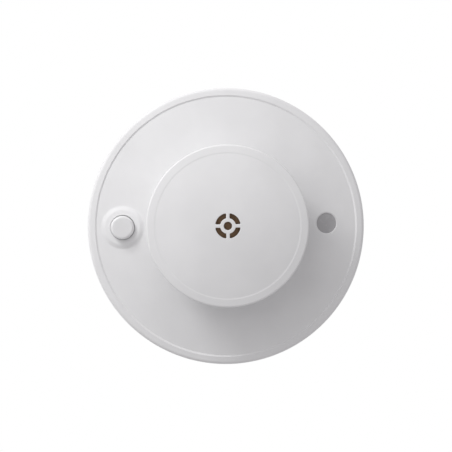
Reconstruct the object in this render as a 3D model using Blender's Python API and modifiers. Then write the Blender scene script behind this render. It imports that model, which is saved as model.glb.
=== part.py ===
"""Smoke alarm: a wall-mounted optical smoke detector, modelled as the separate parts it comes apart into.

World frame: metres, +Z up. The origin is the centre of the mounting plate's back face, which lies
on the wall in the plane y = 0, and the front faces -Y. The parts are modelled in bench coordinates,
under an empty turned a quarter about X: x to the right, y up the wall and z out from the wall.
"""

import math

import bmesh
import bpy
from mathutils import Matrix

MM = 0.001
GAP = 0.3 * MM

# Facets round a turned part
LARGE_STEPS = 48
RING_STEPS = 36
SMALL_STEPS = 20

# Front cover: a rim band, a step down, a shallow cone and a neck that flares out of it
DISC_RADIUS = 58.0 * MM
COVER_WALL = 1.8 * MM
SKIRT_BOTTOM = 2.6 * MM
RIM_TOP = 16.75 * MM
RIM_ROUNDING = 2.1 * MM
STEP_RADIUS = 55.0 * MM
STEP_DEPTH = 0.45 * MM
CONE_SLOPE = math.radians(12.5)
NECK_RADIUS = 29.5 * MM
NECK_TOP = 29.3 * MM
NECK_FLARE = 5.5 * MM

# Raised cap over the neck, with the sounder grille
CAP_RADIUS = 33.45 * MM
CAP_BOTTOM = 34.2 * MM
CAP_BAND_TOP = 40.3 * MM
CAP_BAND_EDGE = 39.6 * MM
CAP_ROUNDING = 1.0 * MM
CAP_STEP_RADIUS = 30.05 * MM
CAP_STEP_DEPTH = 0.1 * MM
CAP_TOP = 44.0 * MM
CAP_WALL = 1.8 * MM
GRILLE_HOLE = 1.7 * MM
GRILLE_SLOT_INNER = 3.22 * MM
GRILLE_SLOT_OUTER = 5.2 * MM
GRILLE_BAR = 1.42 * MM

# Test button, its boss and the switch under it
BUTTON_X = -43.4 * MM
BUTTON_RADIUS = 4.95 * MM
BUTTON_FACE = 22.6 * MM
BUTTON_BOTTOM = 15.2 * MM
BUTTON_FLANGE_RADIUS = 6.4 * MM
BOSS_HEIGHT = 0.6 * MM
BOSS_BOTTOM = 15.6 * MM
BOSS_TOP_RADIUS = 6.95 * MM
BOSS_FOOT_RADIUS = 9.4 * MM
SWITCH_SIZE = 6.0 * MM
SWITCH_TOP = 13.7 * MM
SPRING_RADIUS = 5.4 * MM
SPRING_WIRE = 0.25 * MM
SPRING_TURNS = 3
PLUNGER_RADIUS = 1.7 * MM
PLUNGER_LENGTH = 1.3 * MM

# Status window, flush with the cone, and its LED
WINDOW_X = 42.0 * MM
WINDOW_Y = 0.6 * MM
WINDOW_RADIUS = 4.1 * MM
WINDOW_FACE = 18.9 * MM
LED_HALF_LENGTH = 1.6 * MM
LED_HALF_WIDTH = 1.4 * MM
LED_BODY_TOP = 12.8 * MM

# Mounting plate and its bayonet
PLATE_RADIUS = 50.0 * MM
PLATE_THICKNESS = 2.0 * MM
PLATE_RING_TOP = 2.6 * MM
SCREW_SLOT_PITCH = 60.0 * MM
SCREW_SLOT_WIDTH = 3.9 * MM
SCREW_SLOT_LENGTH = 9.0 * MM
SCREW_SEAT_WIDTH = 8.2 * MM
SCREW_SEAT_FLOOR = 0.9 * MM
HOOK_ANGLES = (45, 135, 215, 335)
HOOK_HALF_ANGLE = 6
HOOK_TURN = 15
HOOK_PLAY = 0.8
HOOK_INNER = 38.0 * MM
HOOK_OUTER = 40.0 * MM
HOOK_LIP = 42.2 * MM
HOOK_TOP = 6.2 * MM
HOOK_LIP_BOTTOM = 5.2 * MM

# Rear housing
PAN_BOTTOM = 3.0 * MM
PAN_FLOOR = 4.6 * MM
PAN_RADIUS = 55.9 * MM
PAN_WALL = 1.6 * MM
PAN_TOP = 12.5 * MM
SCREW_ANGLES = (90, 230, 310)
SCREW_CIRCLE = 47.0 * MM
SCREW_BOSS_RADIUS = 3.9 * MM
SCREW_BOSS_TOP = 10.0 * MM
SCREW_HOLE = 1.75 * MM
SCREW_SHANK = 1.45 * MM
SCREW_HEAD = 2.8 * MM
COVER_BOSS_RADIUS = 3.4 * MM
COVER_BOSS_TOP = 17.0 * MM
PILOT_TOP = 15.3 * MM
SCREW_TIP = 14.8 * MM
PILLAR_PLACES = ((-32 * MM, -12 * MM), (32 * MM, -12 * MM), (-10 * MM, 40 * MM), (10 * MM, 40 * MM))

# Circuit board
BOARD_BOTTOM = 9.5 * MM
BOARD_TOP = 11.1 * MM
BOARD_RADIUS = 50.0 * MM
BOARD_CUT_Y = -25.2 * MM
PART_BOTTOM = BOARD_TOP + GAP

# Lithium cells, AAA size
CELL_RADIUS = 5.25 * MM
CELL_LENGTH = 44.5 * MM
CELL_HEIGHT = 10.2 * MM
CELL_YS = (-30.9 * MM, -41.7 * MM)
SADDLE_RIB_X = 14.0 * MM
END_RIB_X = 24.7 * MM
CONTACT_X = 23.3 * MM

# Smoke chamber
CHAMBER_RADIUS = 25.2 * MM
CHAMBER_FLOOR = 22.0 * MM
CHAMBER_TOP = 32.6 * MM
SCREEN_INNER = 25.8 * MM
SCREEN_OUTER = 26.15 * MM
LED_HEIGHT = 24.4 * MM
LED_ANGLES = {"infrared_led": 200, "photodiode": 335}
BAFFLE_COUNT = 12
BAFFLE_RING = 17.5 * MM
INLET_WINDOWS = 36
INLET_INNER = 27.3 * MM
INLET_OUTER = 29.2 * MM

# Sounder
SOUNDER_BOTTOM = 36.0 * MM
SOUNDER_RADIUS = 15.8 * MM
PIEZO_RADIUS = 13.8 * MM
CERAMIC_RADIUS = 9.6 * MM
PIEZO_BOTTOM = 38.9 * MM
PIEZO_THICKNESS = 0.3 * MM
LEAD_CIRCLE = 26.72 * MM
LEAD_RADIUS = 0.3 * MM
LEAD_ANGLES = {"sounder_lead_plus": 60, "sounder_lead_minus": 66}

WHITE_PLASTIC = ("white_plastic", (0.80, 0.80, 0.80), 0.42, 0.0)
REAR_PLASTIC = ("rear_plastic", (0.74, 0.74, 0.73), 0.50, 0.0)
BUTTON_PLASTIC = ("button_plastic", (0.80, 0.80, 0.80), 0.36, 0.0)
BLACK_PLASTIC = ("black_plastic", (0.03, 0.03, 0.03), 0.60, 0.0)
WINDOW_PLASTIC = ("window_plastic", (0.24, 0.24, 0.24), 0.30, 0.0)
BRASS = ("brass", (0.62, 0.42, 0.18), 0.35, 1.0)
CERAMIC = ("piezo_ceramic_silver", (0.70, 0.70, 0.66), 0.45, 0.6)
STEEL = ("steel", (0.62, 0.62, 0.62), 0.35, 1.0)
SCREEN_STEEL = ("screen_steel", (0.30, 0.30, 0.31), 0.45, 1.0)
BOARD_GREEN = ("board_green", (0.03, 0.18, 0.08), 0.45, 0.0)
CHIP_BLACK = ("chip_black", (0.04, 0.04, 0.045), 0.50, 0.0)
FERRITE = ("ferrite", (0.10, 0.10, 0.11), 0.65, 0.0)
CAN_ALUMINIUM = ("can_aluminium", (0.72, 0.72, 0.74), 0.30, 1.0)
LED_CLEAR = ("led_clear", (0.75, 0.78, 0.85), 0.12, 0.0)
LED_DARK = ("led_dark", (0.03, 0.02, 0.05), 0.15, 0.0)
STATUS_GREEN = ("status_led_lens", (0.55, 0.75, 0.55), 0.20, 0.0)
CELL_SLEEVE = ("cell_sleeve", (0.20, 0.24, 0.34), 0.35, 0.0)
LEAD_RED = ("lead_red", (0.50, 0.03, 0.03), 0.50, 0.0)
LEAD_BLACK = ("lead_black", (0.03, 0.03, 0.03), 0.50, 0.0)


def clear_scene():
    for old in list(bpy.data.objects):
        bpy.data.objects.remove(old, do_unlink=True)


def make_collection(name):
    collection = bpy.data.collections.new(name)
    bpy.context.scene.collection.children.link(collection)
    return collection


def make_empty(name, parent=None):
    empty = bpy.data.objects.new(name, None)
    empty.empty_display_size = 10 * MM
    empty.parent = parent
    PARTS.objects.link(empty)
    return empty


def material_of(finish):
    """The Principled material of a (name, colour, roughness, metallic) finish, made once."""
    name, colour, roughness, metallic = finish
    material = bpy.data.materials.get(name)
    if material is None:
        material = bpy.data.materials.new(name)
        material.use_nodes = True
        shader = material.node_tree.nodes["Principled BSDF"]
        shader.inputs["Base Color"].default_value = (*colour, 1.0)
        shader.inputs["Roughness"].default_value = roughness
        shader.inputs["Metallic"].default_value = metallic
        material.diffuse_color = (*colour, 1.0)
    return material


def add_part(name, data, finish, parent, location=(0, 0, 0), rotation=(0, 0, 0)):
    part = bpy.data.objects.new(name, data)
    part.parent = parent
    part.location = location
    part.rotation_euler = rotation
    if not data.materials:
        data.materials.append(material_of(finish))
    PARTS.objects.link(part)
    return part


def add_helper(name, mesh, parent, location=(0, 0, 0), rotation=(0, 0, 0)):
    """A shape that a part is cut by or joined with. It isn't a part itself."""
    helper = bpy.data.objects.new(name, mesh)
    helper.parent = parent
    helper.location = location
    helper.rotation_euler = rotation
    helper.display_type = "WIRE"
    helper.hide_render = True
    CUTTERS.objects.link(helper)
    return helper


def combine(part, helper, operation):
    modifier = part.modifiers.new(helper.name, "BOOLEAN")
    modifier.operation = operation
    modifier.solver = "EXACT"
    modifier.object = helper


def cut(part, helper):
    combine(part, helper, "DIFFERENCE")


def join(part, helper):
    combine(part, helper, "UNION")


def spin(part, steps):
    """Turns the part's profile about its local Z axis."""
    screw = part.modifiers.new("turning", "SCREW")
    screw.steps = steps
    screw.render_steps = steps
    screw.use_merge_vertices = True
    screw.merge_threshold = 0.00001


def profile_mesh(name, profile):
    """A turned part's outline as (radius, height) pairs, listed down its outer side."""
    mesh = bpy.data.meshes.new(name)
    edges = [(i, i + 1) for i in range(len(profile) - 1)]
    if profile[0][0] > 0:
        edges.append((len(profile) - 1, 0))
    mesh.from_pydata([(radius, 0, height) for radius, height in profile], edges, [])
    return mesh


def add_turned(name, profile, steps, finish, parent, location=(0, 0, 0), rotation=(0, 0, 0)):
    part = add_part(name, profile_mesh(name, profile), finish, parent, location, rotation)
    spin(part, steps)
    return part


def mesh_from(shape, name):
    mesh = bpy.data.meshes.new(name)
    shape.to_mesh(mesh)
    shape.free()
    return mesh


def rods_mesh(name, rods, segments=24):
    """Upright cylinders, each given as (x, y, radius, bottom, top)."""
    shape = bmesh.new()
    for x, y, radius, bottom, top in rods:
        bmesh.ops.create_cone(
            shape,
            cap_ends=True,
            segments=segments,
            radius1=radius,
            radius2=radius,
            depth=top - bottom,
            matrix=Matrix.Translation((x, y, (bottom + top) / 2)),
        )
    return mesh_from(shape, name)


def boxes_mesh(name, boxes):
    """Boxes, each given as (low corner, high corner, turn about the Z axis in degrees)."""
    shape = bmesh.new()
    for low, high, turn in boxes:
        size = [b - a for a, b in zip(low, high)]
        centre = [(a + b) / 2 for a, b in zip(low, high)]
        place = Matrix.Rotation(math.radians(turn), 4, "Z") @ Matrix.Translation(centre)
        bmesh.ops.create_cube(shape, size=1, matrix=place @ Matrix.Diagonal((*size, 1)))
    return mesh_from(shape, name)


def plate_mesh(name, outlines, bottom, top):
    """A flat plate between two heights. Outlines are closed lists of (x, y): an inner one is a hole."""
    curve = bpy.data.curves.new(name, "CURVE")
    curve.dimensions = "2D"
    curve.fill_mode = "BOTH"
    curve.extrude = (top - bottom) / 2
    for outline in outlines:
        spline = curve.splines.new("POLY")
        spline.points.add(len(outline) - 1)
        for point, (x, y) in zip(spline.points, outline):
            point.co = (x, y, 0, 1)
        spline.use_cyclic_u = True
    guide = add_helper(name, curve, None)
    mesh = bpy.data.meshes.new_from_object(guide.evaluated_get(bpy.context.evaluated_depsgraph_get()))
    bpy.data.objects.remove(guide)
    shape = bmesh.new()
    shape.from_mesh(mesh)
    bmesh.ops.remove_doubles(shape, verts=shape.verts, dist=0.000001)
    bmesh.ops.recalc_face_normals(shape, faces=shape.faces)
    bmesh.ops.translate(shape, verts=shape.verts, vec=(0, 0, (bottom + top) / 2))
    shape.to_mesh(mesh)
    shape.free()
    mesh.name = name
    return mesh


def arc(centre, radius, start, end, count):
    """Points along an arc, with its angles in degrees."""
    angles = [math.radians(start + (end - start) * i / (count - 1)) for i in range(count)]
    return [(centre[0] + radius * math.cos(a), centre[1] + radius * math.sin(a)) for a in angles]


def polar(radius, degrees):
    return radius * math.cos(math.radians(degrees)), radius * math.sin(math.radians(degrees))


def sector(inner, outer, start, end, count=4):
    """Outline of a piece of a flat ring."""
    return arc((0, 0), outer, start, end, count) + arc((0, 0), inner, end, start, count)


def oblong(x, y, length, width, count=6):
    """Outline of a slot with round ends, its length along x."""
    reach = (length - width) / 2
    right = arc((x + reach, y), width / 2, -90, 90, count)
    return right + arc((x - reach, y), width / 2, 90, 270, count)


def cone_height(radius):
    """Height of the cone's outer surface at this radius."""
    return RIM_TOP - STEP_DEPTH + (STEP_RADIUS - radius) * math.tan(CONE_SLOPE)


def dome_height(radius):
    """Height of the cap's face at this radius."""
    fall = CAP_TOP - (CAP_BAND_TOP - CAP_STEP_DEPTH)
    return CAP_TOP - fall * (radius / CAP_STEP_RADIUS) ** 2


def screw_places():
    return [polar(SCREW_CIRCLE, angle) for angle in SCREW_ANGLES]


def make_mounting_plate(base):
    profile = [
        (0, PLATE_THICKNESS),
        (PLATE_RADIUS - 2.6 * MM, PLATE_THICKNESS),
        (PLATE_RADIUS - 2.6 * MM, PLATE_RING_TOP),
        (PLATE_RADIUS - 0.4 * MM, PLATE_RING_TOP),
        (PLATE_RADIUS, PLATE_RING_TOP - 0.4 * MM),
        (PLATE_RADIUS, 0.4 * MM),
        (PLATE_RADIUS - 0.4 * MM, 0),
        (0, 0),
    ]
    plate = add_turned("mounting_plate", profile, LARGE_STEPS, REAR_PLASTIC, base)
    posts = []
    lips = []
    for angle in HOOK_ANGLES:
        start = angle - HOOK_HALF_ANGLE
        end = angle + HOOK_HALF_ANGLE
        posts.append(sector(HOOK_INNER, HOOK_OUTER, start, end))
        lips.append(sector(HOOK_OUTER - 0.8 * MM, HOOK_LIP, start + 0.6, end - 0.6))
    join(plate, add_helper("hook_posts", plate_mesh("hook_posts", posts, MM, HOOK_TOP), base))
    lip_mesh = plate_mesh("hook_lips", lips, HOOK_LIP_BOTTOM, HOOK_TOP - 0.05 * MM)
    join(plate, add_helper("hook_lips", lip_mesh, base))
    seat_length = SCREW_SLOT_LENGTH + SCREW_SEAT_WIDTH - SCREW_SLOT_WIDTH
    seats = plate_mesh("screw_seats", four_slots(seat_length, SCREW_SEAT_WIDTH, 8), SCREW_SEAT_FLOOR, 4 * MM)
    cut(plate, add_helper("wall_screw_seats", seats, base))
    slots = plate_mesh("screw_slots", four_slots(SCREW_SLOT_LENGTH, SCREW_SLOT_WIDTH, 6), -MM, 5 * MM)
    cut(plate, add_helper("screw_slots", slots, base))


def four_slots(length, width, count):
    """Outlines of the wall screws' two level and two upright slots."""
    outlines = []
    for side in (-1, 1):
        level = oblong(side * SCREW_SLOT_PITCH / 2, 0, length, width, count)
        outlines.append(level)
        outlines.append([(-y, x) for x, y in level])
    return outlines


def make_rear_housing(head):
    profile = [
        (0, PAN_FLOOR),
        (PAN_RADIUS - PAN_WALL, PAN_FLOOR),
        (PAN_RADIUS - PAN_WALL, PAN_TOP),
        (PAN_RADIUS, PAN_TOP),
        (PAN_RADIUS, PAN_BOTTOM + 0.5 * MM),
        (PAN_RADIUS - 0.5 * MM, PAN_BOTTOM),
        (0, PAN_BOTTOM),
    ]
    pan = add_turned("rear_housing", profile, LARGE_STEPS, REAR_PLASTIC, head)
    inside = PAN_FLOOR - 0.6 * MM
    bosses = [(x, y, SCREW_BOSS_RADIUS, inside, SCREW_BOSS_TOP) for x, y in screw_places()]
    join(pan, add_helper("pan_bosses", rods_mesh("pan_bosses", bosses, 20), head))
    pillars = [(x, y, 2 * MM, inside, BOARD_BOTTOM - GAP) for x, y in PILLAR_PLACES]
    join(pan, add_helper("board_pillars", rods_mesh("board_pillars", pillars, 10), head))
    low_y = CELL_YS[1] - 6 * MM
    high_y = CELL_YS[0] + 5.4 * MM
    ribs = []
    for x in (-SADDLE_RIB_X, SADDLE_RIB_X):
        ribs.append(((x - 0.7 * MM, low_y, inside), (x + 0.7 * MM, high_y, 8.2 * MM), 0))
    for x in (-END_RIB_X, END_RIB_X):
        ribs.append(((x - 0.6 * MM, low_y, inside), (x + 0.6 * MM, high_y, 9 * MM), 0))
    join(pan, add_helper("cell_ribs", boxes_mesh("cell_ribs", ribs), head))
    for number, y in enumerate(CELL_YS):
        saddle = rods_mesh("saddle", [(0, 0, CELL_RADIUS + 0.25 * MM, -20 * MM, 20 * MM)], 32)
        turn = (0, math.radians(90), 0)
        cut(pan, add_helper(f"cell_saddle_{number}", saddle, head, (0, y, CELL_HEIGHT), turn))
    windows = [hook_window(angle) for angle in HOOK_ANGLES]
    through = plate_mesh("hook_windows", windows, PAN_BOTTOM - MM, PAN_FLOOR + MM)
    cut(pan, add_helper("hook_windows", through, head))
    seats = [(x, y, SCREW_HEAD + GAP, PAN_BOTTOM - MM, PAN_FLOOR + 0.8 * MM) for x, y in screw_places()]
    cut(pan, add_helper("screw_seats", rods_mesh("screw_seats", seats, 20), head))
    holes = [(x, y, SCREW_HOLE, PAN_BOTTOM - MM, SCREW_BOSS_TOP + MM) for x, y in screw_places()]
    cut(pan, add_helper("pan_screw_holes", rods_mesh("pan_screw_holes", holes, 12), head))


def hook_window(angle):
    """Outline of a bayonet window: wide where the hook goes in, narrow where its lip holds."""
    start = angle - HOOK_HALF_ANGLE - HOOK_TURN - HOOK_PLAY
    step = angle + HOOK_HALF_ANGLE - HOOK_TURN + HOOK_PLAY
    end = angle + HOOK_HALF_ANGLE + HOOK_PLAY
    wide = arc((0, 0), HOOK_LIP + 0.4 * MM, start, step, 4)
    narrow = arc((0, 0), HOOK_OUTER + 0.4 * MM, step, end, 4)
    return wide + narrow + arc((0, 0), HOOK_INNER - 0.4 * MM, end, start, 7)


def cover_profile():
    """The cover's section: the outer face from the neck down to the skirt, and the inner face back up."""
    slope = math.degrees(CONE_SLOPE)
    flare_x = NECK_RADIUS + NECK_FLARE
    cone_at_flare = cone_height(flare_x) + NECK_FLARE / math.cos(CONE_SLOPE)
    flare = (flare_x, cone_at_flare)
    rounding = (DISC_RADIUS - RIM_ROUNDING, RIM_TOP - RIM_ROUNDING)
    inner_drop = COVER_WALL / math.cos(CONE_SLOPE)
    skirt_inner = DISC_RADIUS - COVER_WALL + 0.1 * MM
    outer_face = [(NECK_RADIUS, NECK_TOP)]
    outer_face += arc(flare, NECK_FLARE, 180, 270 - slope, 4)
    outer_face += [(STEP_RADIUS - 0.15 * MM, cone_height(STEP_RADIUS - 0.15 * MM))]
    outer_face += [(STEP_RADIUS + 0.15 * MM, RIM_TOP)]
    outer_face += arc(rounding, RIM_ROUNDING, 90, 0, 3)
    outer_face += [(DISC_RADIUS, SKIRT_BOTTOM)]
    ceiling = cone_height(STEP_RADIUS) - inner_drop
    inner_face = [(skirt_inner, SKIRT_BOTTOM), (skirt_inner, ceiling - 0.2 * MM)]
    inner_face += [(STEP_RADIUS - 0.5 * MM, ceiling + 0.1 * MM)]
    inner_face += arc(flare, NECK_FLARE + COVER_WALL, 270 - slope, 180, 3)
    inner_face += [(NECK_RADIUS - COVER_WALL, NECK_TOP)]
    return outer_face + inner_face


def boss_mesh(count):
    """The button's boss: its top follows the cone, a little above it, and its bottom is level."""
    middle = (0, 0, cone_height(-BUTTON_X) + BOSS_HEIGHT)
    rings = ((BOSS_TOP_RADIUS, BOSS_HEIGHT), (BOSS_TOP_RADIUS + 1.2 * MM, 0.3 * MM), (BOSS_FOOT_RADIUS, -0.5 * MM))
    points = [middle]
    for radius, lift in rings:
        for step in range(count):
            x, y = polar(radius, 360 * step / count)
            points.append((x, y, cone_height(math.hypot(BUTTON_X + x, y)) + lift))
    for step in range(count):
        points.append((*polar(BOSS_FOOT_RADIUS, 360 * step / count), BOSS_BOTTOM))
    faces = []
    for step in range(count):
        after = (step + 1) % count
        faces.append((0, 1 + step, 1 + after))
        for ring in range(len(rings)):
            upper = 1 + ring * count
            lower = upper + count
            faces.append((upper + step, lower + step, lower + after, upper + after))
    last = 1 + len(rings) * count
    faces.append(tuple(reversed(range(last, last + count))))
    mesh = bpy.data.meshes.new("button_boss")
    mesh.from_pydata(points, [], faces)
    return mesh


def make_front_cover(head):
    cover = add_turned("front_cover", cover_profile(), LARGE_STEPS, WHITE_PLASTIC, head)
    boss = add_helper("button_boss", boss_mesh(28), head, (BUTTON_X, 0, 0))
    join(cover, boss)
    boss_bottom = SCREW_BOSS_TOP + GAP
    bosses = [(x, y, COVER_BOSS_RADIUS, boss_bottom, COVER_BOSS_TOP) for x, y in screw_places()]
    join(cover, add_helper("cover_bosses", rods_mesh("cover_bosses", bosses, 16), head))
    recess_top = BUTTON_BOTTOM + 1.4 * MM
    bore_profile = [
        (0, BUTTON_FACE),
        (BUTTON_RADIUS + GAP, BUTTON_FACE),
        (BUTTON_RADIUS + GAP, recess_top),
        (BUTTON_FLANGE_RADIUS + 0.4 * MM, recess_top),
        (BUTTON_FLANGE_RADIUS + 0.4 * MM, BOSS_BOTTOM - 3 * MM),
        (0, BOSS_BOTTOM - 3 * MM),
    ]
    bore = add_helper("button_bore", profile_mesh("button_bore", bore_profile), head, (BUTTON_X, 0, 0))
    spin(bore, 32)
    cut(cover, bore)
    hole = rods_mesh("window_hole", [(0, 0, WINDOW_RADIUS + GAP, -5 * MM, 4 * MM)], 28)
    place = (WINDOW_X, WINDOW_Y, WINDOW_FACE)
    cut(cover, add_helper("window_hole", hole, head, place, (0, CONE_SLOPE, 0)))
    pilots = [(x, y, SCREW_HOLE, SCREW_BOSS_TOP - MM, PILOT_TOP) for x, y in screw_places()]
    cut(cover, add_helper("pilot_holes", rods_mesh("pilot_holes", pilots, 12), head))


def make_inlet_grille(head):
    top = CAP_BOTTOM + 0.7 * MM
    bottom = NECK_TOP + GAP
    profile = [(INLET_INNER, top), (INLET_OUTER, top), (INLET_OUTER, bottom), (INLET_INNER, bottom)]
    ring = add_turned("inlet_grille", profile, INLET_WINDOWS, WHITE_PLASTIC, head)
    half_width = 1.8 * MM
    windows = []
    for number in range(INLET_WINDOWS):
        low = (INLET_INNER - MM, -half_width, NECK_TOP + 1.1 * MM)
        high = (INLET_OUTER + MM, half_width, CAP_BOTTOM - 0.4 * MM)
        windows.append((low, high, (number + 0.5) * 360 / INLET_WINDOWS))
    cut(ring, add_helper("inlet_windows", boxes_mesh("inlet_windows", windows), head))


def make_sounder_cap(head):
    rounding = (CAP_RADIUS - CAP_ROUNDING, CAP_BAND_EDGE - CAP_ROUNDING)
    step_in = CAP_STEP_RADIUS - 0.1 * MM
    face_radii = [step_in * i / 3 for i in range(4)]
    outer_face = [(radius, dome_height(radius)) for radius in face_radii]
    outer_face += [(CAP_STEP_RADIUS + 0.15 * MM, CAP_BAND_TOP)]
    outer_face += arc(rounding, CAP_ROUNDING, 90, 0, 3)
    outer_face += [(CAP_RADIUS, CAP_BOTTOM + 0.5 * MM), (CAP_RADIUS - 0.5 * MM, CAP_BOTTOM)]
    inner_radius = CAP_RADIUS - CAP_WALL
    lip_top = CAP_BOTTOM + 1.2 * MM
    inner_face = [(NECK_RADIUS, CAP_BOTTOM), (NECK_RADIUS, lip_top), (inner_radius, lip_top)]
    inner_face += [(inner_radius, CAP_BAND_TOP - 2.6 * MM)]
    for radius in (28 * MM, 15 * MM, 0):
        inner_face.append((radius, dome_height(radius) - CAP_WALL))
    cap = add_turned("sounder_cap", outer_face + inner_face, LARGE_STEPS, WHITE_PLASTIC, head)
    below = CAP_TOP - 4 * MM
    above = CAP_TOP + MM
    hole = rods_mesh("grille_hole", [(0, 0, GRILLE_HOLE, below, above)], 24)
    cut(cap, add_helper("grille_hole", hole, head))
    slots = plate_mesh("grille_slots", [grille_slot(turn) for turn in range(4)], below, above)
    cut(cap, add_helper("grille_slots", slots, head))


def grille_slot(quarter_turns):
    """Outline of one arc slot, whose ends run along the bars of the cross."""
    outer = math.degrees(math.asin(GRILLE_BAR / 2 / GRILLE_SLOT_OUTER))
    inner = math.degrees(math.asin(GRILLE_BAR / 2 / GRILLE_SLOT_INNER))
    turn = 90 * quarter_turns
    edge = arc((0, 0), GRILLE_SLOT_OUTER, outer + turn, 90 - outer + turn, 7)
    return edge + arc((0, 0), GRILLE_SLOT_INNER, 90 - inner + turn, inner + turn, 5)


def make_sounder(head):
    ledge = PIEZO_BOTTOM - GAP
    rim = dome_height(SOUNDER_RADIUS) - CAP_WALL - 0.4 * MM
    profile = [
        (0, SOUNDER_BOTTOM + MM),
        (PIEZO_RADIUS - 1.2 * MM, SOUNDER_BOTTOM + MM),
        (PIEZO_RADIUS - 1.2 * MM, ledge),
        (PIEZO_RADIUS + 0.4 * MM, ledge),
        (PIEZO_RADIUS + 0.4 * MM, rim),
        (SOUNDER_RADIUS, rim),
        (SOUNDER_RADIUS, SOUNDER_BOTTOM + 0.4 * MM),
        (SOUNDER_RADIUS - 0.4 * MM, SOUNDER_BOTTOM),
        (0, SOUNDER_BOTTOM),
    ]
    add_turned("sounder_housing", profile, RING_STEPS, BLACK_PLASTIC, head)
    disc = [(0, 0, PIEZO_RADIUS, PIEZO_BOTTOM, PIEZO_BOTTOM + PIEZO_THICKNESS)]
    add_part("piezo_disc", rods_mesh("piezo_disc", disc, RING_STEPS), BRASS, head)
    layer_top = PIEZO_BOTTOM - GAP
    layer = [(0, 0, CERAMIC_RADIUS, layer_top - PIEZO_THICKNESS, layer_top)]
    add_part("piezo_ceramic", rods_mesh("piezo_ceramic", layer, RING_STEPS), CERAMIC, head)


def make_chamber(head):
    skirt_inner = CHAMBER_RADIUS - 1.6 * MM
    profile = [
        (0, CHAMBER_FLOOR),
        (CHAMBER_RADIUS, CHAMBER_FLOOR),
        (CHAMBER_RADIUS, PART_BOTTOM),
        (skirt_inner, PART_BOTTOM),
        (skirt_inner, CHAMBER_FLOOR - 1.6 * MM),
        (0, CHAMBER_FLOOR - 1.6 * MM),
    ]
    base = add_turned("chamber_base", profile, RING_STEPS, BLACK_PLASTIC, head)
    low = (9.8 * MM, -2.7 * MM, CHAMBER_FLOOR - 0.6 * MM)
    high = (14.6 * MM, 2.7 * MM, LED_HEIGHT + 2.8 * MM)
    blocks = [(low, high, angle) for angle in LED_ANGLES.values()]
    join(base, add_helper("optical_blocks", boxes_mesh("optical_blocks", blocks), head))
    for name, angle in LED_ANGLES.items():
        x, y = polar(12.2 * MM, angle)
        bore = rods_mesh(name + "_bore", [(0, 0, 1.8 * MM, -3.6 * MM, 3.6 * MM)], 20)
        turn = (0, math.radians(90), math.radians(angle))
        cut(base, add_helper(name + "_bore", bore, head, (x, y, LED_HEIGHT), turn))

    ring_bottom = CHAMBER_FLOOR + GAP
    ring = [
        (BAFFLE_RING, ring_bottom + 0.8 * MM),
        (CHAMBER_RADIUS, ring_bottom + 0.8 * MM),
        (CHAMBER_RADIUS, ring_bottom),
        (BAFFLE_RING, ring_bottom),
    ]
    labyrinth = add_turned("chamber_labyrinth", ring, RING_STEPS, BLACK_PLASTIC, head)
    step = 360 / BAFFLE_COUNT
    baffles = [baffle(number * step) for number in range(BAFFLE_COUNT)]
    standing = plate_mesh("baffles", baffles, ring_bottom + 0.4 * MM, CHAMBER_TOP)
    join(labyrinth, add_helper("baffles", standing, head))

    lid_bottom = CHAMBER_TOP + 2 * GAP
    lid_top = lid_bottom + 1.2 * MM
    lid = [
        (0, lid_top),
        (12 * MM, lid_top),
        (12 * MM, SOUNDER_BOTTOM - GAP),
        (14 * MM, SOUNDER_BOTTOM - GAP),
        (14 * MM, lid_top),
        (SCREEN_OUTER, lid_top),
        (SCREEN_OUTER, lid_bottom),
        (0, lid_bottom),
    ]
    add_turned("chamber_lid", lid, RING_STEPS, BLACK_PLASTIC, head)
    screen_top = lid_bottom - GAP
    screen = [(SCREEN_INNER, screen_top), (SCREEN_OUTER, screen_top), (SCREEN_OUTER, CHAMBER_FLOOR)]
    screen.append((SCREEN_INNER, CHAMBER_FLOOR))
    add_turned("insect_screen", screen, RING_STEPS, SCREEN_STEEL, head)


def baffle(angle):
    """Outline of one bent baffle, which stops straight light from the side."""
    outer_line = [polar(24.6 * MM, angle), polar(21.4 * MM, angle + 17), polar(18.2 * MM, angle + 5)]
    inner_line = [polar(18.6 * MM, angle + 2), polar(20.3 * MM, angle + 13), polar(23.8 * MM, angle - 1.6)]
    return outer_line + inner_line


def make_optics(head):
    dome = arc((0, 4.1 * MM), 1.5 * MM, 90, 0, 4)
    dome[0] = (0, 5.6 * MM)
    profile = dome + [(1.5 * MM, 0), (1.9 * MM, 0), (1.9 * MM, -0.8 * MM), (0, -0.8 * MM)]
    finishes = {"infrared_led": LED_CLEAR, "photodiode": LED_DARK}
    for name, angle in LED_ANGLES.items():
        x, y = polar(14.9 * MM, angle)
        turn = (0, math.radians(90), math.radians(angle + 180))
        add_turned(name, profile, 12, finishes[name], head, (x, y, LED_HEIGHT), turn)


def make_circuit_board(head):
    """The board is a disc with a straight cut above the cells and a notch round the top screw boss."""
    reach = math.degrees(math.asin(BOARD_CUT_Y / BOARD_RADIUS))
    outline = arc((0, 0), BOARD_RADIUS, reach, 85, 24)
    notch = arc((0, SCREW_CIRCLE), 4.4 * MM, -20, -160, 9)
    outline += notch
    outline += arc((0, 0), BOARD_RADIUS, 95, 180 - reach, 24)
    board = plate_mesh("circuit_board", [outline], BOARD_BOTTOM, BOARD_TOP)
    add_part("circuit_board", board, BOARD_GREEN, head)


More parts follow.
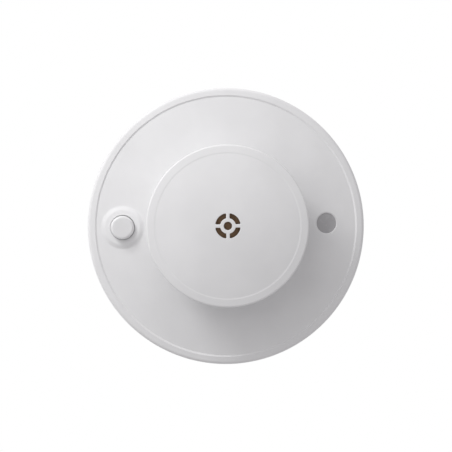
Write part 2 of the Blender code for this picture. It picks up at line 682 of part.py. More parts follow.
def make_chip(name, x, y, length, width, height, legs, head):
    """A flat package with legs along its two long sides."""
    low = (x - length / 2, y - width / 2, PART_BOTTOM + 0.15 * MM)
    high = (x + length / 2, y + width / 2, PART_BOTTOM + height)
    chip = add_part(name, boxes_mesh(name, [(low, high, 0)]), CHIP_BLACK, head)
    pitch = length / legs
    feet = []
    for number in range(legs):
        leg_x = x - length / 2 + pitch * (number + 0.5)
        low = (leg_x - 0.2 * MM, y - width / 2 - 0.9 * MM, PART_BOTTOM)
        high = (leg_x + 0.2 * MM, y + width / 2 + 0.9 * MM, PART_BOTTOM + 0.35 * MM)
        feet.append((low, high, 0))
    join(chip, add_helper(name + "_legs", boxes_mesh(name + "_legs", feet), head))


def make_can(name, x, y, radius, height, head):
    """An electrolytic capacitor: an aluminium can with a crimp near its foot."""
    profile = [
        (0, height),
        (radius - 0.5 * MM, height),
        (radius, height - 0.4 * MM),
        (radius, 1.7 * MM),
        (radius - 0.4 * MM, 1.3 * MM),
        (radius, 0.9 * MM),
        (radius, 0),
        (0, 0),
    ]
    add_turned(name, profile, SMALL_STEPS, CAN_ALUMINIUM, head, (x, y, PART_BOTTOM))


def make_board_parts(head):
    make_chip("microcontroller", 0, 2 * MM, 7 * MM, 5 * MM, 1.3 * MM, 6, head)
    make_chip("sounder_driver", 0, -10 * MM, 5 * MM, 4 * MM, 1.5 * MM, 4, head)
    make_can("large_capacitor", *polar(35.5 * MM, 62), 4.0 * MM, 5.4 * MM, head)
    make_can("small_capacitor", *polar(36 * MM, 30), 2.6 * MM, 5.0 * MM, head)
    spool = [
        (0, 4.8 * MM),
        (4.2 * MM, 4.8 * MM),
        (4.2 * MM, 3.9 * MM),
        (3.3 * MM, 3.6 * MM),
        (3.3 * MM, 1.2 * MM),
        (4.2 * MM, 0.9 * MM),
        (4.2 * MM, 0),
        (0, 0),
    ]
    x, y = polar(35 * MM, 118)
    add_turned("boost_coil", spool, SMALL_STEPS, FERRITE, head, (x, y, PART_BOTTOM))
    x, y = polar(36 * MM, 150)
    can = plate_mesh("crystal", [oblong(x, y, 10 * MM, 4.2 * MM)], PART_BOTTOM, PART_BOTTOM + 3 * MM)
    add_part("crystal", can, CAN_ALUMINIUM, head)


def make_status_light(head):
    led_x = WINDOW_X - MM
    low = (led_x - LED_HALF_LENGTH, WINDOW_Y - LED_HALF_WIDTH, PART_BOTTOM)
    high = (led_x + LED_HALF_LENGTH, WINDOW_Y + LED_HALF_WIDTH, LED_BODY_TOP)
    led = add_part("status_led", boxes_mesh("status_led", [(low, high, 0)]), STATUS_GREEN, head)
    foot = LED_BODY_TOP - 0.3 * MM
    dome = [(0, foot + 0.9 * MM), (0.7 * MM, foot + 0.7 * MM), (1.1 * MM, foot), (0, foot)]
    lens = add_helper("led_dome", profile_mesh("led_dome", dome), head, (led_x, WINDOW_Y, 0))
    spin(lens, 16)
    join(led, lens)
    profile = [
        (0, 0),
        (WINDOW_RADIUS - 0.25 * MM, 0),
        (WINDOW_RADIUS, -0.2 * MM),
        (WINDOW_RADIUS, -1.9 * MM),
        (2.0 * MM, -1.9 * MM),
        (2.0 * MM, -4.9 * MM),
        (0, -4.9 * MM),
    ]
    place = (WINDOW_X, WINDOW_Y, WINDOW_FACE)
    add_turned("status_window", profile, 28, WINDOW_PLASTIC, head, place, (0, CONE_SLOPE, 0))


def make_test_switch(head):
    half = SWITCH_SIZE / 2
    low = (BUTTON_X - half, -half, PART_BOTTOM)
    high = (BUTTON_X + half, half, SWITCH_TOP)
    body = add_part("test_switch", boxes_mesh("test_switch", [(low, high, 0)]), CHIP_BLACK, head)
    legs = []
    for y in (-2.2 * MM, 2.2 * MM):
        low = (BUTTON_X - half - 0.7 * MM, y - 0.35 * MM, PART_BOTTOM + 0.05 * MM)
        high = (BUTTON_X + half + 0.7 * MM, y + 0.35 * MM, PART_BOTTOM + 0.45 * MM)
        legs.append((low, high, 0))
    join(body, add_helper("switch_legs", boxes_mesh("switch_legs", legs), head))
    pocket = [(BUTTON_X, 0, 2.0 * MM, PART_BOTTOM + 0.5 * MM, SWITCH_TOP + MM)]
    cut(body, add_helper("plunger_pocket", rods_mesh("plunger_pocket", pocket), head))
    top = SWITCH_TOP + 0.7 * MM
    profile = [(0, top), (PLUNGER_RADIUS - 0.1 * MM, top), (PLUNGER_RADIUS, top - 0.1 * MM)]
    profile += [(PLUNGER_RADIUS, top - PLUNGER_LENGTH), (0, top - PLUNGER_LENGTH)]
    add_turned("switch_plunger", profile, SMALL_STEPS, LEAD_RED, head, (BUTTON_X, 0, 0))


def make_test_button(head):
    rounding = (BUTTON_RADIUS - 1.2 * MM, BUTTON_FACE - 1.2 * MM)
    flange_top = BUTTON_BOTTOM + MM
    nib_bottom = SWITCH_TOP + MM
    profile = [(0, BUTTON_FACE)]
    profile += arc(rounding, 1.2 * MM, 90, 0, 3)
    profile += [(BUTTON_RADIUS, flange_top), (BUTTON_FLANGE_RADIUS, flange_top)]
    profile += [(BUTTON_FLANGE_RADIUS, BUTTON_BOTTOM), (1.5 * MM, BUTTON_BOTTOM)]
    profile += [(1.5 * MM, nib_bottom), (0, nib_bottom)]
    add_turned("test_button", profile, 28, BUTTON_PLASTIC, head, (BUTTON_X, 0, 0))


def add_wire(name, points, radius, finish, parent):
    curve = bpy.data.curves.new(name, "CURVE")
    curve.dimensions = "3D"
    curve.bevel_depth = radius
    curve.bevel_resolution = 2
    curve.use_fill_caps = True
    spline = curve.splines.new("POLY")
    spline.points.add(len(points) - 1)
    for point, place in zip(spline.points, points):
        point.co = (*place, 1)
    add_part(name, curve, finish, parent)


def make_button_spring(head):
    bottom = BOARD_TOP + GAP + SPRING_WIRE
    top = BUTTON_BOTTOM - GAP - SPRING_WIRE
    steps = 10 * SPRING_TURNS
    points = []
    for step in range(steps + 1):
        x, y = polar(SPRING_RADIUS, 360 * SPRING_TURNS * step / steps)
        points.append((BUTTON_X + x, y, bottom + (top - bottom) * step / steps))
    add_wire("button_spring", points, SPRING_WIRE, STEEL, head)


def make_cells(head):
    half = CELL_LENGTH / 2
    profile = [
        (0, half),
        (1.9 * MM, half),
        (1.9 * MM, half - MM),
        (CELL_RADIUS - 0.7 * MM, half - MM),
        (CELL_RADIUS, half - 1.6 * MM),
        (CELL_RADIUS, 0.5 * MM - half),
        (CELL_RADIUS - 0.6 * MM, -half),
        (0, -half),
    ]
    for name, y, way in (("upper_cell", CELL_YS[0], 90), ("lower_cell", CELL_YS[1], -90)):
        turn = (0, math.radians(way), 0)
        add_turned(name, profile, SMALL_STEPS, CELL_SLEEVE, head, (0, y, CELL_HEIGHT), turn)
    for name, side in (("left_contact", -1), ("right_contact", 1)):
        place = (side * CONTACT_X, 0, 0)
        low = (-0.2 * MM, CELL_YS[1] - 4.2 * MM, PAN_FLOOR + GAP)
        high = (0.2 * MM, CELL_YS[0] + 4.2 * MM, 14.4 * MM)
        contact = add_part(name, boxes_mesh(name, [(low, high, 0)]), STEEL, head, place)
        for number, y in enumerate(CELL_YS):
            bump = rods_mesh(name + "_bump", [(0, 0, 2.0 * MM, 0, 0.7 * MM)], 16)
            turn = (0, math.radians(-90 * side), 0)
            place = (side * CONTACT_X, y, CELL_HEIGHT)
            join(contact, add_helper(f"{name}_bump_{number}", bump, head, place, turn))


def make_sounder_leads(head):
    bend = (LEAD_CIRCLE - 1.6 * MM, 33.5 * MM)
    path = [(LEAD_CIRCLE, PART_BOTTOM + 0.1 * MM), (LEAD_CIRCLE, 22 * MM)]
    path += arc(bend, 1.6 * MM, 0, 90, 5)
    path += [(20 * MM, 35.1 * MM), (14.8 * MM, 35.1 * MM)]
    finishes = {"sounder_lead_plus": LEAD_RED, "sounder_lead_minus": LEAD_BLACK}
    for name, angle in LEAD_ANGLES.items():
        points = [(*polar(radius, angle), height) for radius, height in path]
        add_wire(name, points, LEAD_RADIUS, finishes[name], head)


def make_housing_screws(head):
    seat = PAN_FLOOR + 0.5 * MM
    head_bottom = PAN_BOTTOM + 0.1 * MM
    profile = [
        (0, SCREW_TIP),
        (SCREW_SHANK - 0.5 * MM, SCREW_TIP),
        (SCREW_SHANK, SCREW_TIP - 0.8 * MM),
        (SCREW_SHANK, seat),
        (SCREW_HEAD, seat),
        (SCREW_HEAD, head_bottom + 0.5 * MM),
        (SCREW_HEAD - 0.5 * MM, head_bottom),
        (0, head_bottom),
    ]
    arm = 1.5 * MM
    half = 0.35 * MM
    names = ("top_screw", "left_screw", "right_screw")
    for name, (x, y) in zip(names, screw_places()):
        screw = add_turned(name, profile, 16, STEEL, head, (x, y, 0))
        for turn, depth in ((0, 1.1 * MM), (90, 1.0 * MM)):
            slot = [((-arm, -half, head_bottom - MM), (arm, half, head_bottom + depth), turn)]
            helper_name = f"{name}_recess_{turn}"
            cut(screw, add_helper(helper_name, boxes_mesh(helper_name, slot), head, (x, y, 0)))


def settle_shapes():
    """Makes each part's modifiers final, and shades the round surfaces smooth."""
    bpy.context.view_layer.update()
    depsgraph = bpy.context.evaluated_depsgraph_get()
    solid = [part for part in PARTS.objects if part.type == "MESH"]
    meshes = [bpy.data.meshes.new_from_object(part.evaluated_get(depsgraph)) for part in solid]
    for part, mesh in zip(solid, meshes):
        part.modifiers.clear()
        part.data = mesh
        mesh.name = part.name
        mesh.shade_smooth()
        mesh.set_sharp_from_angle(angle=math.radians(28))


def build():
    """Makes every part, rear to front."""
    base = make_empty("wall_frame")
    base.rotation_euler = (math.radians(90), 0, 0)
    head = make_empty("head_axis", base)
    make_mounting_plate(base)
    make_rear_housing(head)
    make_cells(head)
    make_circuit_board(head)
    make_board_parts(head)
    make_chamber(head)
    make_optics(head)
    make_test_switch(head)
    make_button_spring(head)
    make_test_button(head)
    make_status_light(head)
    make_front_cover(head)
    make_inlet_grille(head)
    make_sounder(head)
    make_sounder_leads(head)
    make_sounder_cap(head)
    make_housing_screws(head)
    settle_shapes()


clear_scene()
PARTS = make_collection("smoke_detector")
CUTTERS = make_collection("cutters")
build()
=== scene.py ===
import math

import bmesh
import bpy
import numpy as np
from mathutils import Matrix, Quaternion, Vector
from mathutils.geometry import delaunay_2d_cdt


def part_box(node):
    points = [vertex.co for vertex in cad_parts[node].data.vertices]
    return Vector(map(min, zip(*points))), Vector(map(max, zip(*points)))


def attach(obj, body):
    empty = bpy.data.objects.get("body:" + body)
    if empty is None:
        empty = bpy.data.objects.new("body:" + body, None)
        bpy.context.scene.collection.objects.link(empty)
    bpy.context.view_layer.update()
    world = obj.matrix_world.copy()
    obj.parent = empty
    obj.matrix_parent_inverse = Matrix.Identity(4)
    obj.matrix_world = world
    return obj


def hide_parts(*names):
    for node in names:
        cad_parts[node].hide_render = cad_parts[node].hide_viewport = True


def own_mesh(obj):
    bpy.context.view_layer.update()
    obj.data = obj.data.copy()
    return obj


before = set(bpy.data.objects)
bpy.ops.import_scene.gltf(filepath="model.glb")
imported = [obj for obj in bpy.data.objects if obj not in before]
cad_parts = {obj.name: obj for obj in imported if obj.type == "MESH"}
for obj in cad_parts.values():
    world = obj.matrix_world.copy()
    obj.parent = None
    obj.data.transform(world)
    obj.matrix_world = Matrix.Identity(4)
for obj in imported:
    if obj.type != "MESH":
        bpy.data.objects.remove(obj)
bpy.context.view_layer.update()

# Every piece is made in bench coordinates: x to the right, y up the wall and d out from the wall.
MM = 0.001
WELD = 0.0000005
STEPS = 256
FINE_STEPS = 128
SMALL_STEPS = 64
ARC_STEP = math.radians(11)
HOOK_ANGLES = (45, 135, 215, 335)


def span(node):
    """The CAD node's box in millimetres: low and high x, low and high y, low and high d."""
    low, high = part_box(node)
    return [value / MM for value in (low.x, high.x, low.z, high.z, -high.y, -low.y)]


def middle(node):
    left, right, bottom, top, _, _ = span(node)
    return (left + right) / 2, (bottom + top) / 2


# Places and sizes that the CAD boxes give, in millimetres
_, DISC, _, _, SKIRT, NECK_TOP = span("front_cover")
_, CAP, _, _, CAP_LOW, CAP_TOP = span("sounder_cap")
BUTTON = middle("test_button")
_, _, _, _, BUTTON_LOW, BUTTON_TOP = span("test_button")
_, PLATE, _, _, _, HOOK_TOP = span("mounting_plate")

# Shapes of the cover, in millimetres
SLOPE = math.radians(12.5)
# The lens leans with the cone and its back reaches inward, so its face is found from its outer edge.
CAD_LENS = 4.1
WINDOW = span("status_window")[1] - CAD_LENS * math.cos(SLOPE), middle("status_window")[1]
WINDOW_HOLE = 4.2
RIM_TOP = 16.75
STEP = 55.0
STEP_DROP = 0.45
WALL = 1.8
NECK = 29.5
FLARE = 5.5
BORE = 5.12
BOSS_LIFT = 0.8
BOSS_EDGE = 6.9
BOSS_FOOT = 9.3
FIELD_IN = 31.5
FIELD_OUT = 54.0


def circle(radius, steps, centre=(0.0, 0.0), turn=0.0):
    angles = [2 * math.pi * (i + turn) / steps for i in range(steps)]
    return [(centre[0] + radius * math.cos(a), centre[1] + radius * math.sin(a)) for a in angles]


def polar(radius, degrees):
    return radius * math.cos(math.radians(degrees)), radius * math.sin(math.radians(degrees))


def rounded(corners, closed=False):
    """A line through corners given as (a, b, rounding), with an arc at each rounded one."""
    line = []
    count = len(corners)
    for i, (a, b, rounding) in enumerate(corners):
        if rounding <= 0 or (not closed and i in (0, count - 1)):
            line.append((a, b))
            continue
        here = Vector((a, b))
        back = (Vector(corners[i - 1][:2]) - here).normalized()
        ahead = (Vector(corners[(i + 1) % count][:2]) - here).normalized()
        half = back.angle(ahead) / 2
        reach = rounding / math.tan(half)
        centre = here + (back + ahead).normalized() * (rounding / math.sin(half))
        first = here + back * reach - centre
        last = here + ahead * reach - centre
        begin = math.atan2(first.y, first.x)
        sweep = math.atan2(first.x * last.y - first.y * last.x, first.dot(last))
        steps = max(3, math.ceil(abs(sweep) / ARC_STEP))
        lead = min(0.12 * rounding, 0.05)
        line.append(tuple(here + back * (reach + lead)))
        for k in range(steps + 1):
            angle = begin + sweep * k / steps
            line.append((centre.x + rounding * math.cos(angle), centre.y + rounding * math.sin(angle)))
        line.append(tuple(here + ahead * (reach + lead)))
    return line


def turned(line, steps=STEPS, centre=(0.0, 0.0)):
    """A surface of revolution about an axis along d. The line is (radius, d)."""
    points = []
    rows = []
    for radius, d in line:
        if radius < 0.0001:
            rows.append([len(points)] * steps)
            points.append((centre[0], centre[1], d))
        else:
            rows.append(list(range(len(points), len(points) + steps)))
            points += [(x, y, d) for x, y in circle(radius, steps, centre)]
    faces = []
    for upper, lower in zip(rows, rows[1:]):
        for i in range(steps):
            j = (i + 1) % steps
            face = list(dict.fromkeys((upper[i], upper[j], lower[j], lower[i])))
            if len(face) > 2:
                faces.append(face)
    return points, faces


def bridge(loops, closed=True):
    """Faces between loops of equal length, one after another."""
    points = [point for loop in loops for point in loop]
    count = len(loops[0])
    faces = []
    for level in range(len(loops) - 1):
        for i in range(count if closed else count - 1):
            j = (i + 1) % count
            here = level * count
            faces.append((here + i, here + j, here + count + j, here + count + i))
    return points, faces


def within(outline, places):
    """Which of the places lie inside the outline."""
    inside = np.zeros(len(places), bool)
    x, y = places[:, 0], places[:, 1]
    for (ax, ay), (bx, by) in zip(outline, outline[1:] + outline[:1]):
        crosses = (ay > y) != (by > y)
        if ay != by:
            inside ^= crosses & (x < ax + (y - ay) * (bx - ax) / (by - ay))
    return inside


def area_mesh(outlines, points):
    """Triangles over the area between the outlines, through the further points."""
    coords = []
    edges = []
    for outline in outlines:
        first = len(coords)
        coords += [Vector(place) for place in outline]
        edges += [(first + i, first + (i + 1) % len(outline)) for i in range(len(outline))]
    coords += [Vector(place) for place in points]
    made = delaunay_2d_cdt(coords, edges, [], 0, 0.00001)
    flat = np.array([tuple(place) for place in made[0]])
    faces = np.array(made[2])
    centres = flat[faces].mean(axis=1)
    inside = np.zeros(len(centres), bool)
    for outline in outlines:
        inside ^= within(outline, centres)
    return flat, faces[inside]


def raised(flat, faces, lift):
    """The flat mesh brought to where lift(x, y) says."""
    return [lift(x, y) for x, y in flat], [tuple(int(i) for i in face) for face in faces]


def hole_wall(outline_at, front, back, edge, arc=(0, 30, 60, 90)):
    """The wall of a hole: a quarter round or a chamfer at its front edge, then straight back."""
    loops = []
    for degrees in arc:
        angle = math.radians(degrees)
        sink = edge * (1 - math.cos(angle))
        loop = []
        for (x, y), (wide_x, wide_y) in zip(outline_at(edge * (1 - math.sin(angle))), outline_at(edge)):
            top = front(wide_x, wide_y)
            loop.append((x, y, top[2] - sink))
        loops.append(loop)
    loops.append([back(x, y) for x, y in outline_at(edge)])
    return bridge(loops)


def add_piece(name, surfaces, material, body, stands_for=(), sharp=32, convert=None):
    """One welded mesh from (points, faces) pairs in bench millimetres, riding on a body."""
    points = []
    faces = []
    for some_points, some_faces in surfaces:
        first = len(points)
        points += some_points
        faces += [tuple(first + i for i in face) for face in some_faces]
    if convert:
        points = [convert(point) for point in points]
    mesh = bpy.data.meshes.new(name)
    mesh.from_pydata([(x * MM, -d * MM, y * MM) for x, y, d in points], [], faces)
    return finish_piece(name, mesh, material, body, stands_for, sharp)


def finish_piece(name, mesh, material, body, stands_for, sharp):
    shape = bmesh.new()
    shape.from_mesh(mesh)
    bmesh.ops.remove_doubles(shape, verts=shape.verts, dist=WELD)
    bmesh.ops.dissolve_degenerate(shape, edges=shape.edges, dist=WELD)
    bmesh.ops.recalc_face_normals(shape, faces=shape.faces)
    shape.to_mesh(mesh)
    shape.free()
    mesh.shade_smooth()
    mesh.set_sharp_from_angle(angle=math.radians(sharp))
    mesh.materials.append(material)
    piece = bpy.data.objects.new(name, mesh)
    bpy.context.scene.collection.objects.link(piece)
    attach(piece, body)
    if stands_for:
        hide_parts(*stands_for)
    return piece


# Materials

def node(tree, kind, **inputs):
    made = tree.nodes.new(kind)
    for name, value in inputs.items():
        made.inputs[name.replace("_", " ")].default_value = value
    return made


def start_material(name):
    material = bpy.data.materials.new(name)
    material.use_nodes = True
    tree = material.node_tree
    return material, tree, tree.nodes["Principled BSDF"]


def noise(tree, scale, detail=2.0, roughness=0.5):
    places = tree.nodes.get("Places") or tree.nodes.new("ShaderNodeTexCoord")
    places.name = "Places"
    made = node(tree, "ShaderNodeTexNoise", Scale=scale, Detail=detail, Roughness=roughness)
    tree.links.new(places.outputs["Object"], made.inputs["Vector"])
    return made.outputs["Fac"]


def remap(tree, source, low, high, to_low, to_high):
    made = node(tree, "ShaderNodeMapRange")
    for number, value in enumerate((low, high, to_low, to_high), 1):
        made.inputs[number].default_value = value
    tree.links.new(source, made.inputs[0])
    return made.outputs[0]


def blend_colours(tree, factor, first, second):
    made = tree.nodes.new("ShaderNodeMix")
    made.data_type = "RGBA"
    made.inputs["A"].default_value = (*first, 1.0)
    made.inputs["B"].default_value = (*second, 1.0)
    tree.links.new(factor, made.inputs["Factor"])
    return made.outputs["Result"]


def bump(tree, height, strength, distance, under=None):
    made = node(tree, "ShaderNodeBump", Strength=strength, Distance=distance)
    tree.links.new(height, made.inputs["Height"])
    if under is not None:
        tree.links.new(under, made.inputs["Normal"])
    return made.outputs["Normal"]


def moulded(name, colour, roughness, grain=3200.0, relief=0.10, mottle=0.02, coat=0.0,
             specular=0.5):
    """Moulded plastic: fine spark-erosion grain, slow flow marks and an uneven sheen."""
    material, tree, shader = start_material(name)
    dark = tuple(c * (1 - mottle) for c in colour)
    light = tuple(min(1.0, c * (1 + mottle)) for c in colour)
    clouds = remap(tree, noise(tree, 55.0, 3.0), 0.35, 0.65, 0.0, 1.0)
    tree.links.new(blend_colours(tree, clouds, dark, light), shader.inputs["Base Color"])
    sheen = remap(tree, noise(tree, 420.0, 3.0), 0.3, 0.7, roughness - 0.035, roughness + 0.035)
    tree.links.new(sheen, shader.inputs["Roughness"])
    flow = bump(tree, noise(tree, 130.0, 2.0), 0.06, 0.0001)
    skin = bump(tree, noise(tree, grain, 3.0, 0.6), relief, 0.00003, flow)
    tree.links.new(skin, shader.inputs["Normal"])
    shader.inputs["Coat Weight"].default_value = coat
    shader.inputs["Specular IOR Level"].default_value = specular
    return material


def metal(name, colour, roughness, scale=900.0, relief=0.08):
    """Plated or rolled metal with fine scratches and a little tarnish."""
    material, tree, shader = start_material(name)
    shader.inputs["Metallic"].default_value = 1.0
    dull = tuple(c * 0.82 for c in colour)
    stains = remap(tree, noise(tree, 300.0, 4.0), 0.4, 0.62, 0.0, 1.0)
    tree.links.new(blend_colours(tree, stains, colour, dull), shader.inputs["Base Color"])
    sheen = remap(tree, noise(tree, scale, 4.0), 0.3, 0.7, roughness - 0.06, roughness + 0.10)
    tree.links.new(sheen, shader.inputs["Roughness"])
    tree.links.new(bump(tree, noise(tree, scale * 3, 2.0), relief, 0.00002), shader.inputs["Normal"])
    return material


WHITE = moulded("white_satin_plastic", (0.80, 0.80, 0.805), 0.5, specular=0.15)
BUTTON_WHITE = moulded("button_satin_plastic", (0.80, 0.80, 0.805), 0.33, relief=0.06)
REAR_WHITE = moulded("rear_matt_plastic", (0.74, 0.74, 0.735), 0.52, grain=2200.0, relief=0.16)
SMOKED = moulded(
    "smoked_window_plastic", (0.41, 0.405, 0.415), 0.26, grain=2600.0, relief=0.05, mottle=0.08)
BLACK = moulded("black_matt_plastic", (0.022, 0.022, 0.022), 0.55, grain=2400.0, relief=0.18, mottle=0.10)
CHIP = moulded("chip_epoxy", (0.035, 0.035, 0.038), 0.50, grain=4200.0, relief=0.22, mottle=0.10)
FERRITE = moulded("ferrite", (0.09, 0.09, 0.10), 0.70, grain=3800.0, relief=0.35, mottle=0.18)
RED_PLASTIC = moulded("red_plastic", (0.45, 0.03, 0.03), 0.42, mottle=0.08)
BLACK_RUBBER = moulded("black_insulation", (0.03, 0.03, 0.03), 0.48, mottle=0.10)
CLEAR_LED = moulded("clear_epoxy", (0.72, 0.76, 0.84), 0.10, relief=0.02, mottle=0.06, coat=0.5)
DARK_LED = moulded("dark_epoxy", (0.03, 0.02, 0.05), 0.12, relief=0.02, mottle=0.15, coat=0.5)
GREEN_LED = moulded("green_epoxy", (0.50, 0.72, 0.50), 0.16, relief=0.03, mottle=0.06, coat=0.4)
CERAMIC = moulded("silvered_ceramic", (0.68, 0.67, 0.62), 0.42, grain=2600.0, relief=0.20, mottle=0.08)
SLEEVE = moulded("cell_sleeve_film", (0.16, 0.21, 0.33), 0.28, relief=0.04, mottle=0.05, coat=0.3)
BOARD = moulded("solder_mask", (0.025, 0.17, 0.075), 0.34, relief=0.05, mottle=0.12, coat=0.2)
BRASS = metal("tarnished_brass", (0.26, 0.17, 0.105), 0.42)
STEEL = metal("zinc_plated_steel", (0.62, 0.62, 0.63), 0.32)
SCREEN = metal("woven_stainless", (0.40, 0.40, 0.41), 0.38)
ALUMINIUM = metal("drawn_aluminium", (0.78, 0.78, 0.80), 0.26)


# Front cover

FLARE_X = NECK + FLARE
CONE_FOOT = RIM_TOP - STEP_DROP
FLARE_D = CONE_FOOT + (STEP - FLARE_X) * math.tan(SLOPE) + FLARE / math.cos(SLOPE)


def cover_base(radius, sink=0.0):
    """Height of the cone and of the flare into the neck, or of the same surface a wall below."""
    reach = FLARE + sink
    if radius < FLARE_X - reach * math.sin(SLOPE):
        return FLARE_D - math.sqrt(max(reach**2 - (FLARE_X - radius) ** 2, 0.0))
    return CONE_FOOT + (STEP - radius) * math.tan(SLOPE) - sink / math.cos(SLOPE)


def cover_front(x, y):
    """The cone with the button's boss, a low ring that follows the cone and fades into it."""
    share = (math.hypot(x - BUTTON[0], y - BUTTON[1]) - BOSS_EDGE) / (BOSS_FOOT - BOSS_EDGE)
    share = min(max(share, 0.0), 1.0)
    lift = BOSS_LIFT * (1 - share * share * (3 - 2 * share))
    return x, y, cover_base(math.hypot(x, y)) + lift


def cover_back(x, y):
    """The cone's underside, with the recess for the button's flange and the foot of the boss."""
    recess, recess_top = 6.8, 16.6
    foot, foot_low = 9.4, 15.6
    lean_from, lean_over = 8.0, 2.5
    base = cover_base(math.hypot(x, y), WALL)
    from_button = math.hypot(x - BUTTON[0], y - BUTTON[1])
    if from_button < recess:
        base = recess_top
    elif from_button < foot:
        base = min(base, foot_low)
    near = (lean_from - math.hypot(x - WINDOW[0], y - WINDOW[1])) / lean_over
    near = min(max(near, 0.0), 1.0)
    return x - WALL * math.sin(SLOPE) * near, y, base


def window_outline(grow):
    """The window's hole. It is narrower from left to right, because the lens leans with the cone."""
    line = circle(WINDOW_HOLE + grow, SMALL_STEPS)
    return [(WINDOW[0] + x * math.cos(SLOPE), WINDOW[1] + y) for x, y in line]


def bore_outline(grow):
    return circle(BORE + grow, FINE_STEPS, BUTTON)


def outside(places, outline):
    return [p for p, hit in zip(places, within(outline, np.array(places))) if not hit]


def far_from(places, centre, distance):
    return [p for p in places if math.hypot(p[0] - centre[0], p[1] - centre[1]) > distance]


def make_cover():
    """The front cover: its cone as a mesh with two holes, and its rim and neck as turned lines."""
    edge, chamfer = 0.15, 0.45
    outlines = [circle(FIELD_OUT, STEPS), circle(FIELD_IN, STEPS)]
    outlines += [bore_outline(edge), window_outline(chamfer)]
    # Rings of points over the cone, then finer ones round the two holes.
    points = []
    radii = [FIELD_IN + 0.5 * i for i in range(1, 13)] + [FIELD_IN + 6 + 0.94 * i for i in range(1, 18)]
    for number, radius in enumerate(radii):
        points += circle(radius, STEPS, turn=0.5 * (number % 2))
    points = far_from(points, BUTTON, 10.9)
    points = far_from(points, WINDOW, 6.3)
    boss_radii = [5.5, 5.9, 6.3, 6.7] + [6.85 + 0.1 * i for i in range(26)] + [9.7, 10.1, 10.45]
    for radius in boss_radii:
        points += circle(radius, FINE_STEPS, BUTTON)
    for radius in (4.85, 5.1, 5.4, 5.8):
        points += circle(radius, SMALL_STEPS, WINDOW)
    flat, faces = area_mesh(outlines, points)
    step_foot = STEP - 0.75
    skirt_in = DISC - 1.7
    rim = rounded([
        (FIELD_OUT, cover_base(FIELD_OUT), 0),
        (step_foot, cover_base(step_foot), 0.2),
        (STEP - 0.05, RIM_TOP, 0.2),
        (DISC, RIM_TOP - (DISC - STEP) * math.tan(SLOPE), 1.6),
        (DISC, SKIRT, 0.35),
        (skirt_in, SKIRT, 0.25),
        (skirt_in, 14.2, 0.5),
        (FIELD_OUT, cover_base(FIELD_OUT, WALL), 0),
    ])
    lip = NECK - WALL
    neck = [(FIELD_IN, cover_base(FIELD_IN))]
    neck += [(r, cover_base(r)) for r in (31.2, 30.9, 30.6, 30.3, 30.1, 29.9, 29.75, 29.62, 29.54)]
    neck += rounded([
        (NECK, NECK_TOP - 0.9, 0),
        (NECK, NECK_TOP, 0.35),
        (lip, NECK_TOP, 0.2),
        (lip, 27.4, 0),
    ])
    neck += [(r, cover_base(r, WALL)) for r in (27.8, 28.2, 28.8, 29.6, 30.5, FIELD_IN)]
    surfaces = [
        raised(flat, faces, cover_front),
        raised(flat, faces, cover_back),
        hole_wall(bore_outline, cover_front, cover_back, edge),
        hole_wall(window_outline, cover_front, cover_back, chamfer, (0, 90)),
        turned(rim),
        turned(neck),
    ]
    add_piece("front_cover_shell", surfaces, WHITE, "head", ["front_cover"])


# Raised cap with the sounder grille

DOME_EDGE = 30.05
BAND_TOP = 40.3
BAND_EDGE = 39.6
GROOVE = 0.035
GRILLE_FIELD = 9.5
GRILLE_HOLE = 1.7
SLOT_OUTER = 5.2
SLOT_INNER = 3.22
HALF_BAR = 0.71


def dome(radius, sink=0.0):
    """Height of the cap's domed face, or of the same surface that much below."""
    fall = CAP_TOP - (BAND_TOP - GROOVE)
    return CAP_TOP - fall * (radius / DOME_EDGE) ** 2 - sink


def cap_front(x, y):
    return x, y, dome(math.hypot(x, y))


def cap_back(x, y):
    return x, y, dome(math.hypot(x, y), WALL)


def slot_outline(quarter, grow):
    """One of the four arc slots round the centre hole, with its corners rounded."""
    outer, inner, bar = SLOT_OUTER + grow, SLOT_INNER - grow, HALF_BAR - grow
    far = math.degrees(math.asin(bar / outer))
    near = math.degrees(math.asin(bar / inner))
    corners = [(*polar(outer, far), 0.35)]
    corners += [(*polar(outer, far + (90 - 2 * far) * i / 20), 0) for i in range(2, 19)]
    corners += [(*polar(outer, 90 - far), 0.35), (*polar(inner, 90 - near), 0.3)]
    corners += [(*polar(inner, 90 - near - (90 - 2 * near) * i / 16), 0) for i in range(2, 15)]
    corners += [(*polar(inner, near), 0.3)]
    turn = math.radians(90 * quarter)
    cosine, sine = math.cos(turn), math.sin(turn)
    return [(x * cosine - y * sine, x * sine + y * cosine) for x, y in rounded(corners, closed=True)]


